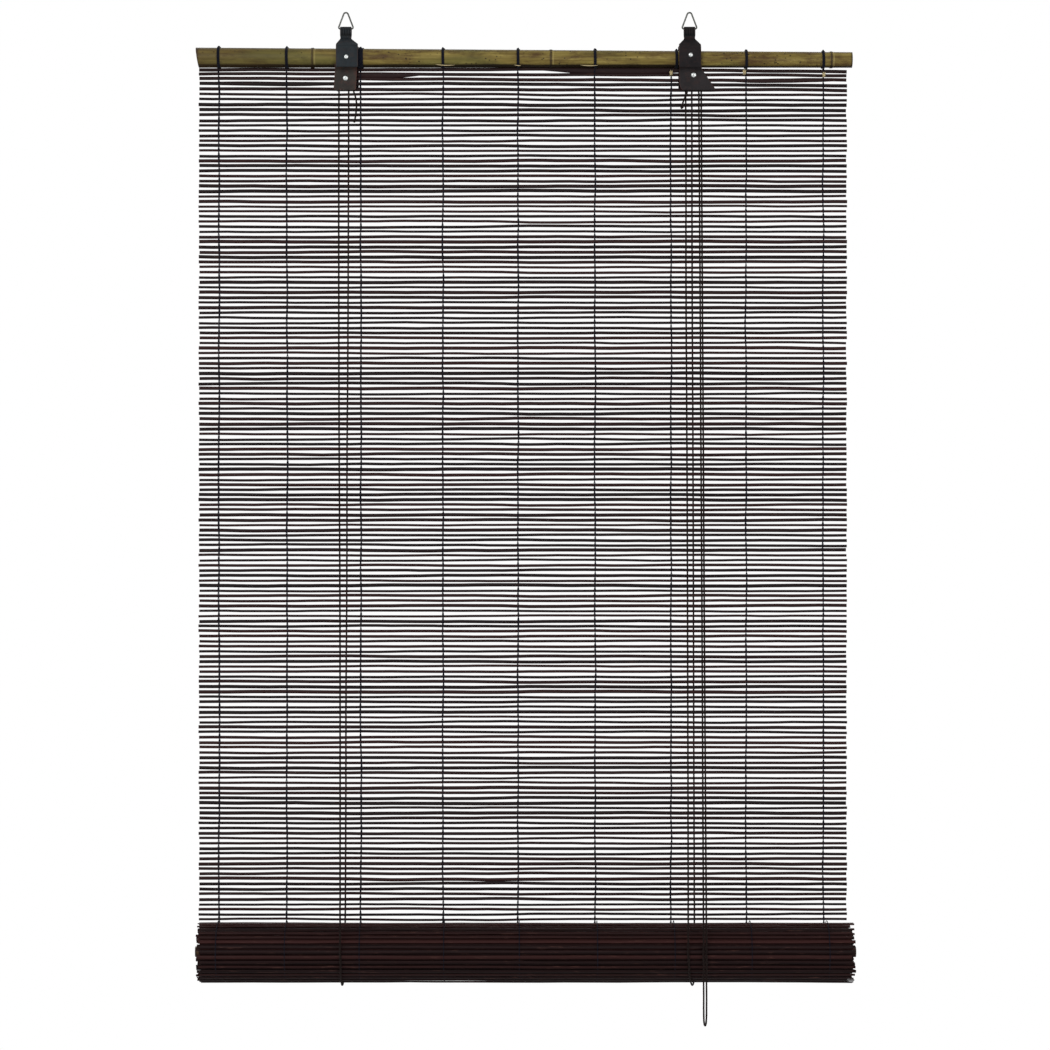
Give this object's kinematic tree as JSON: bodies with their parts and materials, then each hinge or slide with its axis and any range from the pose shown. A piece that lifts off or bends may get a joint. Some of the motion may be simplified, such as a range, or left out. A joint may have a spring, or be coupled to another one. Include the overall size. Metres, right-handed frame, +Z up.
{
  "type": "bamboo roll up blind",
  "caption": "Roll-up window blind: a woven mat of dark split reeds hangs from a bamboo pole by leather straps with wire rings, and cords carry the roll at its foot.",
  "frame": {"origin": "midway between the tops of the two ring eyes, on the line where the two hooks bear", "axes": "+X to the right seen from the room, +Z up, the room is on the -Y side and the window on the +Y side"},
  "size_m": [0.6069, 0.075, 0.9286],
  "materials": {
    "pole_bamboo": "smooth natural bamboo culm with dark specks",
    "reeds": "thin split reeds stained dark brown",
    "rolled_reeds": "thin split reeds stained dark reddish brown",
    "rod_bamboo": "thin bamboo pole stained dark brown",
    "warp_thread": "thin twisted cotton thread, blue-black",
    "cord": "twisted cord, dark brown",
    "strap_leather": "dark leather",
    "flap_leather": "dark brown leather",
    "ring_wire": "bent steel wire",
    "rivet_metal": "plated domed rivet"
  },
  "bodies": {
    "head": {"head_pole": "pole_bamboo", "pole_ties": "warp_thread", "reed_mat": "reeds", "warp_threads": "warp_thread", "left_strap": "strap_leather", "right_strap": "strap_leather", "left_cord_flap": "flap_leather", "right_cord_flap": "flap_leather", "upper_rivets": "rivet_metal", "lower_rivets": "rivet_metal", "cross_cord": "cord", "turn_cord": "cord", "left_front_lift_cord": "cord", "left_rear_lift_cord": "cord", "right_front_lift_cord": "cord", "right_rear_lift_cord": "cord", "left_tail_cord": "cord", "right_tail_cord": "cord", "left_tail_knot": "cord", "right_tail_knot": "cord", "inner_pull_run": "cord", "outer_pull_run": "cord"},
    "left_ring": {"left_ring": "ring_wire"},
    "right_ring": {"right_ring": "ring_wire"},
    "roll_sling": {"left_roll_sling": "cord", "right_roll_sling": "cord", "inner_pull_drop": "cord", "outer_pull_drop": "cord"},
    "roll": {"reed_roll": "rolled_reeds", "bottom_pole": "rod_bamboo"},
    "pull_loop": {"pull_cord_loop": "cord"}
  },
  "joints": [
    {"name": "left_ring_swing", "type": "hinge", "parent": "head", "child": "left_ring", "pos_m": [-0.1589, 0, -0.01415], "axis": [1, 0, 0], "range_deg": [-140, 140]},
    {"name": "right_ring_swing", "type": "hinge", "parent": "head", "child": "right_ring", "pos_m": [0.1589, 0, -0.01415], "axis": [1, 0, 0], "range_deg": [-140, 140]},
    {"name": "roll_lift", "type": "slide", "parent": "head", "child": "roll_sling", "axis": [0, 0, 1], "range_m": [0, 0.72], "deforming": ["reed_mat", "warp_threads", "left_front_lift_cord", "left_rear_lift_cord", "right_front_lift_cord", "right_rear_lift_cord", "inner_pull_run", "outer_pull_run"]},
    {"name": "roll_turn", "type": "hinge", "parent": "roll_sling", "child": "roll", "pos_m": [0, -0.0306, -0.86345], "axis": [1, 0, 0], "range_deg": [-1440, 0]},
    {"name": "pull_slide", "type": "slide", "parent": "roll_sling", "child": "pull_loop", "axis": [0, 0, -1], "range_m": [0, 2.17], "deforming": ["inner_pull_drop", "outer_pull_drop"]}
  ],
  "couplings": [
    {"joint": "roll_turn", "follows": "roll_lift", "rad_per_m": -34.722},
    {"joint": "pull_slide", "follows": "roll_lift", "ratio": 3}
  ]
}
